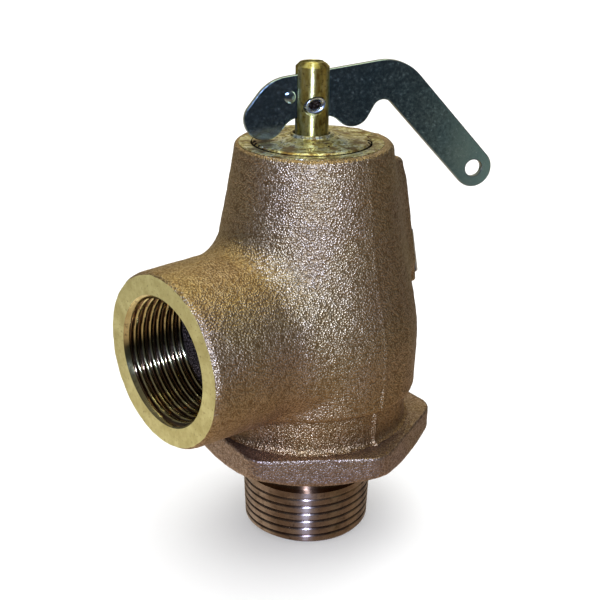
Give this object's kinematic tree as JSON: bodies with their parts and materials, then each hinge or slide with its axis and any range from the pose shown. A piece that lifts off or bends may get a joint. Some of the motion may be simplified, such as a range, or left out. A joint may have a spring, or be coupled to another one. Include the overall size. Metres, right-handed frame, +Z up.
{
  "type": "pressure relief valve",
  "caption": "Side-outlet pressure relief valve: bronze body with threaded outlet, hexagon inlet nozzle with male thread, and a flat test lever on a spring-loaded stem.",
  "frame": {"origin": "centre of the inlet's lower end face, on the axis of the inlet thread and the stem", "axes": "+Z up along the stem, outlet facing -X, nameplate pad on the +X side"},
  "size_m": [0.0882, 0.0632, 0.1226],
  "materials": {
    "cast_bronze": "rough sand-cast bronze",
    "nozzle_bronze": "cast and turned bronze, tarnished",
    "turned_brass": "machined brass",
    "zinc_plate": "zinc plated",
    "spring_steel": "drawn wire",
    "stainless": "bright",
    "soft_seat": "smooth",
    "plate": "satin, blank"
  },
  "bodies": {
    "root": {"valve_body": "cast_bronze", "inlet_nozzle": "nozzle_bronze", "compression_screw": "turned_brass", "nameplate": "plate", "nameplate_screw_left": "stainless", "nameplate_screw_right": "stainless", "upper_spring_step": "turned_brass", "spring": "spring_steel"},
    "disc_assembly": {"disc_holder": "turned_brass", "seat_disc": "soft_seat", "disc_guide": "turned_brass", "thrust_ball": "stainless", "stem_retaining_ring": "spring_steel", "lower_spring_step": "turned_brass"},
    "stem_assembly": {"stem": "turned_brass", "lever_pin": "stainless"},
    "test_lever": {"lever": "zinc_plate"}
  },
  "joints": [
    {"name": "stem_lift", "type": "slide", "parent": "root", "child": "disc_assembly", "axis": [0, 0, 1], "range_m": [0, 0.00413], "stiffness_N_per_m": 7000, "springref_m": -0.0041, "deforming": ["spring"]},
    {"name": "stem_swivel", "type": "hinge", "parent": "disc_assembly", "child": "stem_assembly", "pos_m": [0, 0, 0.0627], "axis": [0, 0, 1], "continuous": true},
    {"name": "lever_pull", "type": "hinge", "parent": "stem_assembly", "child": "test_lever", "pos_m": [0, 0, 0.1127], "axis": [-0.4384, -0.8988, 0], "range_deg": [0, 22]}
  ],
  "couplings": [
    {"joint": "lever_pull", "follows": "stem_lift", "rad_per_m": 92.94}
  ]
}
